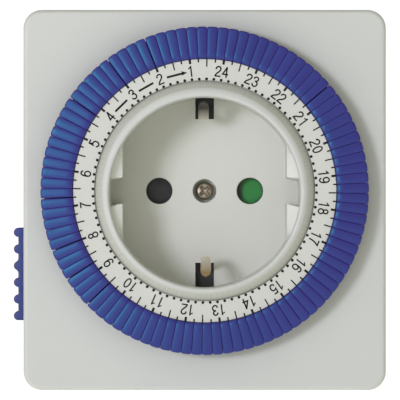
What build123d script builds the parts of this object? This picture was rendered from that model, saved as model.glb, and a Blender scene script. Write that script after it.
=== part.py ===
from build123d import *
import os
from math import acos, cos, degrees, pi, radians, sin, tan

os.makedirs("parts", exist_ok=True)

# A plug-in mechanical 24-hour timer. Millimetres. +X is to the right seen from the front, +Z is up and
# +Y goes into the wall. The origin is on the dial's axis, at the face of the plug that meets the wall
# socket. Every "height" is a distance in front of that face, so a height h lies at y = -h.

# ---- driving dimensions ----
HOUSING_HALF_WIDTH = 37.5
HOUSING_TOP = 37.45
HOUSING_BOTTOM = -41.25
HOUSING_CORNER = 3.8
HOUSING_EDGE = 0.9
HOUSING_FRONT = 55.5
HOUSING_BACK = 17.0
SEAM = 32.0
WALL = 2.0
DIAL_OPENING_R = 33.2
BACK_WALL_FRONT = HOUSING_BACK + WALL
LIP_REACH = 2.0
LIP_CLEARANCE = 0.05
BOSS_OUTER_R = 3.6

PLUG_R = 18.6
PLUG_FLAT_X = 16.5
PLUG_RIB = 4.8
PLUG_HOLLOW_R = 14.6
PLUG_FLANGE_R = 20.0
PLUG_FACE_THICKNESS = 2.5
EARTH_CHANNEL_Z = 16.0
EARTH_CHANNEL_WIDTH = 6.0

PIN_X = 9.5
PIN_R = 2.4
PIN_NECK_R = 2.0
PIN_TAIL_R = 1.8
PIN_REACH = 19.0
PIN_HOLE_R = 2.75

RECESS_R = 19.6
RECESS_FLAT_X = 16.9
RECESS_NOTCH = 5.3
CUP_R = 21.2
CUP_RIM = 62.0
CUP_FLOOR = 44.5
CUP_BACK = 42.5
GUIDE_TOP = 59.2
COLLAR_R = 22.45
COLLAR_BACK = 59.6
COLLAR_ROUND = 2.15
COLLAR_CREST_R = 20.3
BOSS_R = 4.2
BOSS_BACK = 39.5
POST_TOP = 38.7
STRAP_BACK = 19.7
STRAP_THICKNESS = 0.8
CENTRE_SEAT = 41.0
CENTRE_SHANK_R = 1.4
CENTRE_SCREW_BACK = 28.0
SHUTTER_R = 13.0
SHUTTER_HUB_R = 6.2
SHUTTER_FRONT = 42.2
SHUTTER_BACK = 39.7
SHUTTER_BLADE = 1.3
SHUTTER_HALF_ANGLE = 20.0

DIAL_FACE = 60.2
DIAL_BACK = 59.0
DIAL_INNER_R = 22.7
DIAL_OUTER_R = 27.1
DIAL_BORE_R = 21.28
QUARTERS = 96
QUARTERS_PER_HOUR = 4
HOURS = QUARTERS // QUARTERS_PER_HOUR
QUARTER_ANGLE = 360 / QUARTERS
HALF_HOUR_MARK = 0.94  # how far clockwise of the top the mark between 24 and 1 stands at rest, degrees

CARRIER_BACK = 53.9
CARRIER_FRONT = 55.1
SEGMENT_TOP = 61.0
SEGMENT_HEAD_BACK = 57.4
SEGMENT_FOOT_BACK = 53.5
SEGMENT_INNER_R = 27.25
SEGMENT_OUTER_R = 33.8
SEGMENT_TIP_ROUND = 0.6
SEGMENT_LEDGE_R = 32.8  # beyond this the head is thinner, so that a pressed tab stays clear of the housing
SEGMENT_LEDGE = 0.5
SEGMENT_GAP = 0.2
SEGMENT_CROWN_R = 1.7
FOOT_INNER_R = 30.7
FOOT_OUTER_R = 32.3
FOOT_WIDTH = 1.3

RING_MODULE = 0.625
TRAIN_MODULE = 0.6
PINION_TEETH = 12
WHEEL_TEETH = 36
GEAR_ANGLE = -45.0
MOTOR_ANGLE = 195.0
MESH_SLACK = 0.08
PRESSURE_ANGLE = 20.0
AXLE_R = 0.75
AXLE_BORE_R = 0.8
AXLE_BACK = 38.0
GEAR_POST_TOP = 43.2
PLATE_BACK = 46.0
PLATE_FRONT = 47.4
MOTOR_BACK = 28.0
MOTOR_FRONT = 42.2
MOTOR_R = 10.5

SCREW_X = 32.9
SCREW_TOP_Z = 33.0
SCREW_BOTTOM_Z = -36.8
SCREW_SHANK_R = 1.25
SCREW_HEAD_R = 2.5
SCREW_SEAT = 24.0
SCREW_END = 44.0
SCREW_BOSS_R = 3.0

SLIDER_BOTTOM = -27.0
SLIDER_LENGTH = 19.3
SLIDER_TRAVEL = 5.0
SLIDER_DEPTH = 43.5
SLIDER_WIDTH = 9.0
SLIDER_PROUD = 1.4
SLIDER_RIBS = 6
SLIDER_RIB_R = 0.95

LEVER_PIVOT_Z = -22.0
LEVER_PIVOT_HEIGHT = 44.3
LEVER_X = (-33.6, -31.4)
LEVER_PIN_R = 0.95
LEVER_SPRING_SPOT = (-32.5, -10)
LEVER_SPRING_BACK = 30.2
SWITCH_BACK = 24.0
SWITCH_FRONT = 33.0
LEAF_PIVOT_Z = 24.0
LEAF_HEIGHT = 37.0
LEAF_PIN_R = 0.4
CONTACT_SPOT = (-29, 12)

gear_spot = (
    (QUARTERS + PINION_TEETH) * RING_MODULE / 2 * cos(radians(GEAR_ANGLE)),
    (QUARTERS + PINION_TEETH) * RING_MODULE / 2 * sin(radians(GEAR_ANGLE)),
)
train_reach = (WHEEL_TEETH + PINION_TEETH) * TRAIN_MODULE / 2
motor_spot = (
    gear_spot[0] + train_reach * cos(radians(MOTOR_ANGLE)),
    gear_spot[1] + train_reach * sin(radians(MOTOR_ANGLE)),
)
screw_spots = [(x, z) for x in (-SCREW_X, SCREW_X) for z in (SCREW_BOTTOM_Z, SCREW_TOP_Z)]
pin_spots = [(-PIN_X, 0), (PIN_X, 0)]
housing_middle_z = (HOUSING_TOP + HOUSING_BOTTOM) / 2
housing_size = (2 * HOUSING_HALF_WIDTH, HOUSING_TOP - HOUSING_BOTTOM)


# ---- shapes that repeat: each adds to, or cuts from, the part it is called in ----
def round_bar(radius, low, high, spots=((0, 0),), mode=Mode.ADD):
    """Round bars along the dial's axis, between two heights."""
    with BuildSketch(Plane.XZ.offset(low)) as section:
        with Locations(*spots):
            Circle(radius)
    extrude(section.sketch, amount=high - low, mode=mode)


def ring(outer, inner, low, high, spots=((0, 0),), mode=Mode.ADD):
    """Rings about the dial's axis, or about other spots, between two heights."""
    with BuildSketch(Plane.XZ.offset(low)) as section:
        with Locations(*spots):
            Circle(outer)
            Circle(inner, mode=Mode.SUBTRACT)
    extrude(section.sketch, amount=high - low, mode=mode)


def block(x, z, heights, mode=Mode.ADD):
    """A block between two x values, two z values and two heights."""
    with BuildSketch(Plane.XZ.offset(heights[0])) as section:
        with Locations(((x[0] + x[1]) / 2, (z[0] + z[1]) / 2)):
            Rectangle(x[1] - x[0], z[1] - z[0])
    extrude(section.sketch, amount=heights[1] - heights[0], mode=mode)


def housing_plan(inset, low, high, mode=Mode.ADD):
    """The housing's rounded outline, this far inside its walls, between two heights."""
    width, tall = housing_size
    with BuildSketch(Plane.XZ.offset(low)) as section:
        with Locations((0, housing_middle_z)):
            RectangleRounded(width - 2 * inset, tall - 2 * inset, max(HOUSING_CORNER - inset, 1.0))
    extrude(section.sketch, amount=high - low, mode=mode)


def turned(*outline, mode=Mode.ADD):
    """A shape turned about the dial's axis from an outline of (radius, height) points."""
    with BuildSketch(Plane.XY) as half:
        with BuildLine():
            Polyline(*[(radius, -height) for radius, height in outline], close=True)
        make_face()
    revolve(half.sketch, axis=Axis.Y, mode=mode)


def side_profile(x, outline, mode=Mode.ADD):
    """A plate between two x values, cut to an outline of (height, z) points."""
    with BuildSketch(Plane.YZ.offset(x[0])) as section:
        with BuildLine():
            Polyline(*[(-height, z) for height, z in outline], close=True)
        make_face()
    extrude(section.sketch, amount=x[1] - x[0], mode=mode)


def across_bar(radius, x, height, z, mode=Mode.ADD):
    """A round bar along X between two x values, at one height and one z."""
    with BuildSketch(Plane.YZ.offset(x[0])) as section:
        with Locations((-height, z)):
            Circle(radius)
    extrude(section.sketch, amount=x[1] - x[0], mode=mode)


def gear(teeth, module, low, high, bore, spot=(0, 0), phase=0.0, top=0.7):
    """A spur gear with involute flanks. top is the tooth's height over the pitch circle, in modules."""
    pitch_r = teeth * module / 2
    base_r = pitch_r * cos(radians(PRESSURE_ANGLE))
    root_r = pitch_r - 1.1 * module
    tip_r = pitch_r + top * module
    half_at_pitch = degrees((pi * module / 2 - MESH_SLACK) / 2 / pitch_r)

    def involute(radius):
        pressure = acos(min(1.0, base_r / radius))
        return degrees(tan(pressure) - pressure)

    flank = []
    for share in (0.0, 0.34, 0.67, 1.0):
        radius = root_r + share * (tip_r - root_r)
        flank.append((radius, half_at_pitch + involute(pitch_r) - involute(radius)))
    outline = []
    for tooth in range(teeth):
        middle = phase + tooth * 360 / teeth
        sides = [(r, middle - half) for r, half in flank]
        sides += [(r, middle + half) for r, half in reversed(flank)]
        outline += [(r * cos(radians(a)), r * sin(radians(a))) for r, a in sides]
    with BuildSketch(Plane.XZ.offset(low)) as section:
        with Locations(spot):
            with BuildSketch(mode=Mode.PRIVATE) as blank:
                with BuildLine():
                    Polyline(*outline, close=True)
                make_face()
                Circle(bore, mode=Mode.SUBTRACT)
            add(blank.sketch)
    extrude(section.sketch, amount=high - low)


def upright_spring(spot, radius, wire, low, high, turns):
    """A coil spring along the dial's axis direction."""
    start = Plane(origin=(spot[0], -low, spot[1]), x_dir=(1, 0, 0), z_dir=(0, -1, 0))
    coil = start * Helix((high - low) / turns, high - low, radius)
    with BuildSketch(Plane(coil @ 0, z_dir=coil % 0)) as section:
        Circle(wire)
    sweep(section.sketch, path=coil)


# ---- casing ----
with BuildPart() as front_housing:
    housing_plan(0, SEAM, HOUSING_FRONT)
    fillet(front_housing.faces().sort_by(Axis.Y)[0].edges(), radius=HOUSING_EDGE)
    housing_plan(WALL, SEAM, HOUSING_FRONT - WALL, mode=Mode.SUBTRACT)
    round_bar(SCREW_BOSS_R, SEAM, HOUSING_FRONT - WALL, screw_spots)
    round_bar(SCREW_SHANK_R + 0.05, SEAM, SCREW_END + 2, screw_spots, mode=Mode.SUBTRACT)
    round_bar(DIAL_OPENING_R, SEAM, HOUSING_FRONT, mode=Mode.SUBTRACT)
    slot_z = (SLIDER_BOTTOM + 5.4, SLIDER_BOTTOM + 5.4 + 8.4 + SLIDER_TRAVEL)
    block(
        (-HOUSING_HALF_WIDTH - 1, -HOUSING_HALF_WIDTH + WALL + 0.5),
        slot_z,
        (SLIDER_DEPTH - 1.5, SLIDER_DEPTH + 1.5),
        mode=Mode.SUBTRACT,
    )
front_housing.part.label = "front_housing"
export_step(front_housing.part, "parts/front_housing.step")

with BuildPart() as rear_housing:
    housing_plan(0, HOUSING_BACK, SEAM)
    fillet(rear_housing.faces().sort_by(Axis.Y)[-1].edges(), radius=HOUSING_EDGE)
    housing_plan(WALL, BACK_WALL_FRONT, SEAM, mode=Mode.SUBTRACT)
    # the lip that slips inside the front shell
    housing_plan(WALL + LIP_CLEARANCE, SEAM - LIP_REACH, SEAM + LIP_REACH)
    housing_plan(WALL + LIP_CLEARANCE + 1, SEAM - LIP_REACH, SEAM + LIP_REACH, mode=Mode.SUBTRACT)
    round_bar(BOSS_OUTER_R - 0.2, SEAM, SEAM + LIP_REACH, screw_spots, mode=Mode.SUBTRACT)
    round_bar(BOSS_OUTER_R, HOUSING_BACK, SEAM, screw_spots)
    round_bar(PLUG_R + 0.05, HOUSING_BACK, BACK_WALL_FRONT, mode=Mode.SUBTRACT)
    # posts for the train, the motor, the plate, the switch lever, its spring and the switch
    round_bar(2.6, BACK_WALL_FRONT, GEAR_POST_TOP, [gear_spot])
    round_bar(AXLE_R + 0.01, AXLE_BACK, GEAR_POST_TOP, [gear_spot], mode=Mode.SUBTRACT)
    ring(9.0, 6.0, BACK_WALL_FRONT, MOTOR_BACK, [motor_spot])
    round_bar(2.2, BACK_WALL_FRONT, PLATE_BACK, [(-22, 29), (22, 29), (-23, -30)])
    block((-31.2, -28.2), (LEVER_PIVOT_Z - 2, LEVER_PIVOT_Z + 2), (BACK_WALL_FRONT, PLATE_BACK))
    across_bar(LEVER_PIN_R + 0.01, (-34, -28.7), LEVER_PIVOT_HEIGHT, LEVER_PIVOT_Z, mode=Mode.SUBTRACT)
    block((-33, -25), (9, 23), (BACK_WALL_FRONT, SWITCH_BACK))
    round_bar(2.2, BACK_WALL_FRONT, LEVER_SPRING_BACK - 0.2, [LEVER_SPRING_SPOT])
    # screw holes, each with a deep seat for its head
    round_bar(SCREW_HEAD_R + 0.2, HOUSING_BACK, SCREW_SEAT, screw_spots, mode=Mode.SUBTRACT)
    round_bar(SCREW_SHANK_R + 0.25, SCREW_SEAT, SEAM, screw_spots, mode=Mode.SUBTRACT)
rear_housing.part.label = "rear_housing"
export_step(rear_housing.part, "parts/rear_housing.step")

# ---- plug body: round with flat sides, a rib at each side and an earth channel at top and bottom ----
with BuildPart() as plug_body:
    with BuildSketch(Plane.XZ) as plug_plan:
        Circle(PLUG_R)
        Rectangle(2 * PLUG_FLAT_X, 2 * PLUG_R, mode=Mode.INTERSECT)
        with BuildSketch(mode=Mode.PRIVATE) as ribs:
            Circle(PLUG_R)
            Rectangle(2 * PLUG_R, PLUG_RIB, mode=Mode.INTERSECT)
        add(ribs.sketch)
    extrude(plug_plan.sketch, amount=HOUSING_BACK)
    fillet(plug_body.faces().sort_by(Axis.Y)[-1].outer_wire().edges(), radius=0.6)
    round_bar(PLUG_R, HOUSING_BACK, BACK_WALL_FRONT)
    round_bar(PLUG_FLANGE_R, BACK_WALL_FRONT, STRAP_BACK)
    round_bar(PLUG_HOLLOW_R, PLUG_FACE_THICKNESS, STRAP_BACK, mode=Mode.SUBTRACT)
    for side in (-1, 1):
        channel = sorted((side * EARTH_CHANNEL_Z, side * (PLUG_R + 1)))
        slot = sorted((side * (EARTH_CHANNEL_Z - 0.05), side * (EARTH_CHANNEL_Z + 0.95)))
        half = EARTH_CHANNEL_WIDTH / 2
        block((-half, half), channel, (-1, HOUSING_BACK), mode=Mode.SUBTRACT)
        block((-2.1, 2.1), slot, (HOUSING_BACK - 1, STRAP_BACK), mode=Mode.SUBTRACT)
    round_bar(PIN_NECK_R + 0.05, 0, PLUG_FACE_THICKNESS, pin_spots, mode=Mode.SUBTRACT)
    round_bar(PIN_R + 0.2, 0, 0.4, pin_spots, mode=Mode.SUBTRACT)
    # the middle post, which takes the long screw
    round_bar(3.2, PLUG_FACE_THICKNESS, POST_TOP)
    round_bar(CENTRE_SHANK_R + 0.05, CENTRE_SCREW_BACK - 2, POST_TOP, mode=Mode.SUBTRACT)
plug_body.part.label = "plug_body"
export_step(plug_body.part, "parts/plug_body.step")

with BuildPart() as housing_screws:
    for x, z in screw_spots:
        round_bar(SCREW_HEAD_R, SCREW_SEAT - 2, SCREW_SEAT, [(x, z)])
        round_bar(SCREW_SHANK_R, SCREW_SEAT, SCREW_END, [(x, z)])
        drive = (SCREW_SEAT - 3, SCREW_SEAT - 0.8)
        for wide, tall in ((1.5, 0.45), (0.45, 1.5)):
            block((x - wide, x + wide), (z - tall, z + tall), drive, mode=Mode.SUBTRACT)
housing_screws.part.label = "housing_screws"
export_step(housing_screws.part, "parts/housing_screws.step")

# ---- socket ----
collar_crown = [
    (
        COLLAR_CREST_R + COLLAR_ROUND * sin(radians(turn)),
        CUP_RIM - COLLAR_ROUND + COLLAR_ROUND * cos(radians(turn)),
    )
    for turn in range(84, -1, -12)
]
with BuildPart() as socket_cup:
    turned(
        (0, CUP_BACK), (CUP_R, CUP_BACK), (CUP_R, COLLAR_BACK), (COLLAR_R, COLLAR_BACK), *collar_crown,
        (19.9, CUP_RIM), (RECESS_R, 61.6), (RECESS_R, 60), (0, 60),
    )
    ring(CUP_R + 1.0, CUP_R - 0.5, CUP_FLOOR + 0.1, 46)
    round_bar(RECESS_R, GUIDE_TOP, CUP_RIM, mode=Mode.SUBTRACT)
    with BuildSketch(Plane.XZ.offset(CUP_FLOOR)) as recess_plan:
        Circle(RECESS_R)
        Rectangle(2 * RECESS_FLAT_X, 2 * RECESS_R, mode=Mode.INTERSECT)
        with BuildSketch(mode=Mode.PRIVATE) as notches:
            Circle(RECESS_R)
            Rectangle(2 * RECESS_R, RECESS_NOTCH, mode=Mode.INTERSECT)
        add(notches.sketch)
    extrude(recess_plan.sketch, amount=CUP_RIM - CUP_FLOOR, mode=Mode.SUBTRACT)
    for side in (-1, 1):
        floor_slot = sorted((side * 15.05, side * RECESS_R))
        wall_groove = sorted((side * 19.0, side * 20.5))
        block((-1.95, 1.95), floor_slot, (CUP_BACK, CUP_FLOOR + 1), mode=Mode.SUBTRACT)
        block((-1.95, 1.95), wall_groove, (CUP_BACK, 54), mode=Mode.SUBTRACT)
    round_bar(BOSS_R, BOSS_BACK, CUP_BACK)
    round_bar(2.45, CENTRE_SEAT, CUP_FLOOR, mode=Mode.SUBTRACT)
    round_bar(CENTRE_SHANK_R + 0.1, BOSS_BACK, CENTRE_SEAT, mode=Mode.SUBTRACT)
    round_bar(PIN_HOLE_R, CUP_BACK, CUP_FLOOR, pin_spots, mode=Mode.SUBTRACT)
socket_cup.part.label = "socket_cup"
export_step(socket_cup.part, "parts/socket_cup.step")

with BuildPart() as centre_screw:
    round_bar(2.05, CENTRE_SEAT, CENTRE_SEAT + 1.8)
    round_bar(CENTRE_SHANK_R, CENTRE_SCREW_BACK, CENTRE_SEAT)
    for turn in (45, 135):
        with BuildSketch(Plane.XZ.offset(41.8)) as drive:
            with Locations(Location((0, 0), turn)):
                Rectangle(3.0, 0.7)
        extrude(drive.sketch, amount=2, mode=Mode.SUBTRACT)
centre_screw.part.label = "centre_screw"
export_step(centre_screw.part, "parts/centre_screw.step")

with BuildPart() as shutter:
    blade_half_height = 15 * tan(radians(SHUTTER_HALF_ANGLE))
    for side, low in ((1, SHUTTER_FRONT - SHUTTER_BLADE), (-1, SHUTTER_BACK)):
        with BuildSketch(Plane.XZ.offset(low)) as blade:
            Circle(SHUTTER_R)
            with BuildLine():
                Polyline((0, 0), (side * 15, blade_half_height), (side * 15, -blade_half_height), close=True)
            make_face(mode=Mode.INTERSECT)
        extrude(blade.sketch, amount=SHUTTER_BLADE)
    round_bar(SHUTTER_HUB_R, SHUTTER_BACK, SHUTTER_FRONT)
    round_bar(SHUTTER_HUB_R - 0.9, SHUTTER_BACK, SHUTTER_BACK + 1.2, mode=Mode.SUBTRACT)
    round_bar(BOSS_R + 0.05, SHUTTER_BACK, SHUTTER_FRONT, mode=Mode.SUBTRACT)
shutter.part.label = "shutter"
export_step(shutter.part, "parts/shutter.step")

with BuildPart() as shutter_spring:
    upright_spring((0, 0), 4.75, 0.22, 40.0, 40.65, 1.25)
shutter_spring.part.label = "shutter_spring"
export_step(shutter_spring.part, "parts/shutter_spring.step")

# ---- earth contacts ----
with BuildPart() as front_earth_clip:
    half_path = [(57.0, 18.2), (56.2, 18.3), (52.4, 14.5), (51.0, 14.6), (45.5, 17.4), (39.1, 17.4)]
    with BuildSketch(Plane.YZ.offset(-1.2)) as clip:
        with BuildLine():
            corners = [(-h, z) for h, z in half_path] + [(-h, -z) for h, z in reversed(half_path)]
            FilletPolyline(*corners, radius=[0.3, 0.9, 0.6, 2.0, 0.8, 0.8, 2.0, 0.6, 0.9, 0.3])
        trace(line_width=0.5)
    extrude(clip.sketch, amount=2.4)
    round_bar(4.4, 38.85, 39.35)
    round_bar(1.6, 38, 40, mode=Mode.SUBTRACT)
front_earth_clip.part.label = "front_earth_clip"
export_step(front_earth_clip.part, "parts/front_earth_clip.step")

with BuildPart() as rear_earth_strap:
    reach = EARTH_CHANNEL_Z + 0.85
    block((-2, 2), (-reach, reach), (STRAP_BACK, STRAP_BACK + STRAP_THICKNESS))
    for side in (-1, 1):
        upright = sorted((side * (EARTH_CHANNEL_Z + 0.05), side * reach))
        block((-2, 2), upright, (1.0, STRAP_BACK + STRAP_THICKNESS))
    round_bar(4.6, STRAP_BACK, STRAP_BACK + STRAP_THICKNESS)
    round_bar(3.3, HOUSING_BACK, 22, mode=Mode.SUBTRACT)
rear_earth_strap.part.label = "rear_earth_strap"
export_step(rear_earth_strap.part, "parts/rear_earth_strap.step")

with BuildPart() as earth_link:
    block((3.4, 4.2), (-1.4, 1.4), (STRAP_BACK + STRAP_THICKNESS, 38.85))
earth_link.part.label = "earth_link"
export_step(earth_link.part, "parts/earth_link.step")

# ---- plug pins and live parts ----
for side, pin_name in ((-1, "live_pin"), (1, "neutral_pin")):
    with BuildPart() as pin:
        round_bar(PIN_R, -PIN_REACH, 0, [(side * PIN_X, 0)])
        fillet(pin.faces().sort_by(Axis.Y)[-1].edges(), radius=1.5)
        round_bar(PIN_NECK_R, 0, PLUG_FACE_THICKNESS, [(side * PIN_X, 0)])
        round_bar(3.2, PLUG_FACE_THICKNESS, 4, [(side * PIN_X, 0)])
        round_bar(PIN_TAIL_R, 4, 22, [(side * PIN_X, 0)])
    pin.part.label = pin_name
    export_step(pin.part, f"parts/{pin_name}.step")

with BuildPart() as neutral_contact:
    ring(3.1, 2.5, 26, 38.6, [(PIN_X, 0)])
    block((12.3, 13.1), (-2, 2), (20.2, 38.6))
    block((7.4, 13.1), (-2.4, 2.4), (20.2, 21.0))
    block((PIN_X - 0.3, PIN_X + 0.3), (-4, -1), (25, 39), mode=Mode.SUBTRACT)
    round_bar(PIN_TAIL_R + 0.02, 20, 22, [(PIN_X, 0)], mode=Mode.SUBTRACT)
neutral_contact.part.label = "neutral_contact"
export_step(neutral_contact.part, "parts/neutral_contact.step")

with BuildPart() as live_contact:
    ring(3.1, 2.5, 26, 38.6, [(-PIN_X, 0)])
    block((-24.5, -12.3), (-2, 2), (27, 27.8))
    block((-24.5, -22.5), (-2, 26.6), (27, 27.8))
    block((-24.5, -22.5), (25.8, 26.6), (27, LEAF_HEIGHT))
    block((-PIN_X - 0.3, -PIN_X + 0.3), (-4, -1), (25, 39), mode=Mode.SUBTRACT)
    block((-31, -22.5), (25.8, 26.6), (LEAF_HEIGHT - 2, LEAF_HEIGHT))
live_contact.part.label = "live_contact"
export_step(live_contact.part, "parts/live_contact.step")

with BuildPart() as live_feed:
    block((-21.0, -7.4), (-2.2, 2.2), (20.2, 21.0))
    block((-21.0, -17.0), (-2.2, 8.0), (20.2, 21.0))
    block((-21.0, -20.2), (5.0, 14.0), (20.2, 33.8))
    block((-31.0, -20.2), (10.0, 14.0), (33.0, 33.8))
    round_bar(1.5, 33.8, 34.2, [CONTACT_SPOT])
    round_bar(PIN_TAIL_R + 0.02, 20, 22, [(-PIN_X, 0)], mode=Mode.SUBTRACT)
live_feed.part.label = "live_feed"
export_step(live_feed.part, "parts/live_feed.step")

# ---- switch ----
with BuildPart() as switch_base:
    block((-34, -24.8), (8, 25.6), (SWITCH_BACK, SWITCH_FRONT))
    block((-34, -31.8), (21, 25.6), (SWITCH_FRONT, 40))
switch_base.part.label = "switch_base"
export_step(switch_base.part, "parts/switch_base.step")

with BuildPart() as moving_leaf:
    block((-31.0, -27.0), (8.0, LEAF_PIVOT_Z - 0.8), (LEAF_HEIGHT - 0.2, LEAF_HEIGHT + 0.2))
    round_bar(1.4, LEAF_HEIGHT - 0.8, LEAF_HEIGHT - 0.2, [CONTACT_SPOT])
    across_bar(0.9, (-31.0, -27.0), LEAF_HEIGHT, LEAF_PIVOT_Z)
    across_bar(LEAF_PIN_R + 0.05, (-31.0, -27.0), LEAF_HEIGHT, LEAF_PIVOT_Z, mode=Mode.SUBTRACT)
moving_leaf.part.label = "moving_leaf"
export_step(moving_leaf.part, "parts/moving_leaf.step")

with BuildPart() as leaf_pin:
    across_bar(LEAF_PIN_R, (-31.8, -26.6), LEAF_HEIGHT, LEAF_PIVOT_Z)
leaf_pin.part.label = "leaf_pin"
export_step(leaf_pin.part, "parts/leaf_pin.step")

with BuildPart() as switch_lever:
    side_profile(
        LEVER_X,
        [
            (42.9, -24.0), (45.7, -24.0), (45.7, -2.2), (50.7, -0.9), (51.3, -0.3), (51.3, 0.3), (50.7, 0.9),
            (45.7, 2.2), (45.7, 10.0), (37.5, 10.0), (37.5, 8.4), (42.9, 8.4),
        ],
    )
    block((LEVER_X[0], -29.0), (8.4, 10.0), (37.5, 39.0))
    across_bar(LEVER_PIN_R + 0.05, LEVER_X, LEVER_PIVOT_HEIGHT, LEVER_PIVOT_Z, mode=Mode.SUBTRACT)
switch_lever.part.label = "switch_lever"
export_step(switch_lever.part, "parts/switch_lever.step")

with BuildPart() as lever_pin:
    across_bar(LEVER_PIN_R, (-34.2, -28.8), LEVER_PIVOT_HEIGHT, LEVER_PIVOT_Z)
lever_pin.part.label = "lever_pin"
export_step(lever_pin.part, "parts/lever_pin.step")

with BuildPart() as lever_spring:
    upright_spring(LEVER_SPRING_SPOT, 1.3, 0.2, LEVER_SPRING_BACK, 42.7, 6)
lever_spring.part.label = "lever_spring"
export_step(lever_spring.part, "parts/lever_spring.step")

with BuildPart() as override_slider:
    outer_x = -HOUSING_HALF_WIDTH - SLIDER_PROUD
    slider_z = (SLIDER_BOTTOM, SLIDER_BOTTOM + SLIDER_LENGTH)
    slider_heights = (SLIDER_DEPTH - SLIDER_WIDTH / 2, SLIDER_DEPTH + SLIDER_WIDTH / 2)
    block((outer_x, -HOUSING_HALF_WIDTH - 0.05), slider_z, slider_heights)
    rib_pitch = (SLIDER_LENGTH - 2 * SLIDER_RIB_R) / (SLIDER_RIBS - 1)
    rib_spots = [(outer_x, SLIDER_BOTTOM + SLIDER_RIB_R + n * rib_pitch) for n in range(SLIDER_RIBS)]
    with BuildSketch(Plane.XZ.offset(slider_heights[0])) as slider_ribs:
        with Locations(*rib_spots):
            Circle(SLIDER_RIB_R)
        with Locations((outer_x + 2, 0)):
            Rectangle(4, 100, mode=Mode.SUBTRACT)
    extrude(slider_ribs.sketch, amount=SLIDER_WIDTH)
    stem_z = (SLIDER_BOTTOM + 5.6, SLIDER_BOTTOM + 13.6)
    block((-HOUSING_HALF_WIDTH - 0.05, -34.7), stem_z, (SLIDER_DEPTH - 1.4, SLIDER_DEPTH + 1.4))
    block((-35.4, -34.7), (stem_z[0] - 2.5, stem_z[1] + 2.5), (SLIDER_DEPTH - 3.5, SLIDER_DEPTH + 3.5))
override_slider.part.label = "override_slider"
export_step(override_slider.part, "parts/override_slider.step")

# ---- dial ----
with BuildPart() as dial_disc:
    ring(DIAL_OUTER_R, DIAL_INNER_R, DIAL_BACK, DIAL_FACE)
    ring(DIAL_INNER_R + 0.5, DIAL_BORE_R, 58.6, 59.4)
dial_disc.part.label = "dial_disc"
export_step(dial_disc.part, "parts/dial_disc.step")

slot_angles = [90 - HALF_HOUR_MARK + (n + 0.5) * QUARTER_ANGLE for n in range(QUARTERS)]
foot_middle_r = (FOOT_INNER_R + FOOT_OUTER_R) / 2
with BuildPart() as segment_carrier:
    gear(QUARTERS, RING_MODULE, 48.0, 50.6, 28.0)
    ring(29.25, 28.0, 48.0, CARRIER_BACK + 0.2)
    with BuildSketch(Plane.XZ.offset(CARRIER_BACK)) as flange:
        Circle(DIAL_OPENING_R - 0.25)
        Circle(25.9, mode=Mode.SUBTRACT)
        with Locations(
            *[
                Location((foot_middle_r * cos(radians(a)), foot_middle_r * sin(radians(a))), a)
                for a in slot_angles
            ]
        ):
            Rectangle(FOOT_OUTER_R - FOOT_INNER_R + 0.4, FOOT_WIDTH + 0.2, mode=Mode.SUBTRACT)
    extrude(flange.sketch, amount=CARRIER_FRONT - CARRIER_BACK)
    ring(27.05, 25.9, CARRIER_FRONT, DIAL_BACK)
segment_carrier.part.label = "segment_carrier"
export_step(segment_carrier.part, "parts/segment_carrier.step")


def segment_at(angle):
    """One switching tab pointing out from the dial's axis at this angle: a crowned head on a foot."""
    half_angle = radians(QUARTER_ANGLE / 2)
    inner_half = SEGMENT_INNER_R * sin(half_angle) - SEGMENT_GAP / 2
    outer_half = (SEGMENT_OUTER_R - SEGMENT_TIP_ROUND) * sin(half_angle) - SEGMENT_GAP / 2
    with BuildPart() as tab:
        with BuildSketch(Plane.XZ.offset(SEGMENT_HEAD_BACK)) as head:
            with BuildLine():
                Polyline(
                    (SEGMENT_OUTER_R - SEGMENT_TIP_ROUND, -outer_half),
                    (SEGMENT_INNER_R, -inner_half),
                    (SEGMENT_INNER_R, inner_half),
                    (SEGMENT_OUTER_R - SEGMENT_TIP_ROUND, outer_half),
                )
                ThreePointArc(
                    (SEGMENT_OUTER_R - SEGMENT_TIP_ROUND, outer_half),
                    (SEGMENT_OUTER_R, 0),
                    (SEGMENT_OUTER_R - SEGMENT_TIP_ROUND, -outer_half),
                )
            make_face()
        extrude(head.sketch, amount=SEGMENT_TOP - SEGMENT_HEAD_BACK)
        ledge_heights = (SEGMENT_HEAD_BACK, SEGMENT_HEAD_BACK + SEGMENT_LEDGE)
        block((SEGMENT_LEDGE_R, SEGMENT_OUTER_R + 1), (-2, 2), ledge_heights, mode=Mode.SUBTRACT)
        # the crowned top
        with BuildSketch(Plane.YZ.offset(SEGMENT_INNER_R - 1)) as crown:
            with Locations((-SEGMENT_TOP + SEGMENT_CROWN_R, 0)):
                Circle(SEGMENT_CROWN_R)
            with Locations((-SEGMENT_TOP + SEGMENT_CROWN_R + 1.5, 0)):
                Rectangle(3, 2 * SEGMENT_CROWN_R)
        extrude(crown.sketch, amount=SEGMENT_OUTER_R - SEGMENT_INNER_R + 2, mode=Mode.INTERSECT)
        with BuildSketch(Plane.XZ.offset(SEGMENT_FOOT_BACK)) as foot:
            with Locations((foot_middle_r, 0)):
                Rectangle(FOOT_OUTER_R - FOOT_INNER_R, FOOT_WIDTH)
        extrude(foot.sketch, amount=SEGMENT_HEAD_BACK + 0.4 - SEGMENT_FOOT_BACK)
    return tab.part.rotate(Axis.Y, -angle)


for hour in range(1, HOURS + 1):
    first_gap = 90 - HALF_HOUR_MARK + (hour - 0.5) * 15
    tabs = [segment_at(first_gap + (n + 0.5) * QUARTER_ANGLE) for n in range(QUARTERS_PER_HOUR)]
    with BuildPart() as hour_group:
        add(tabs)
    hour_group.part.label = f"hour_{hour:02d}"
    export_step(hour_group.part, f"parts/hour_{hour:02d}.step")

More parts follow.
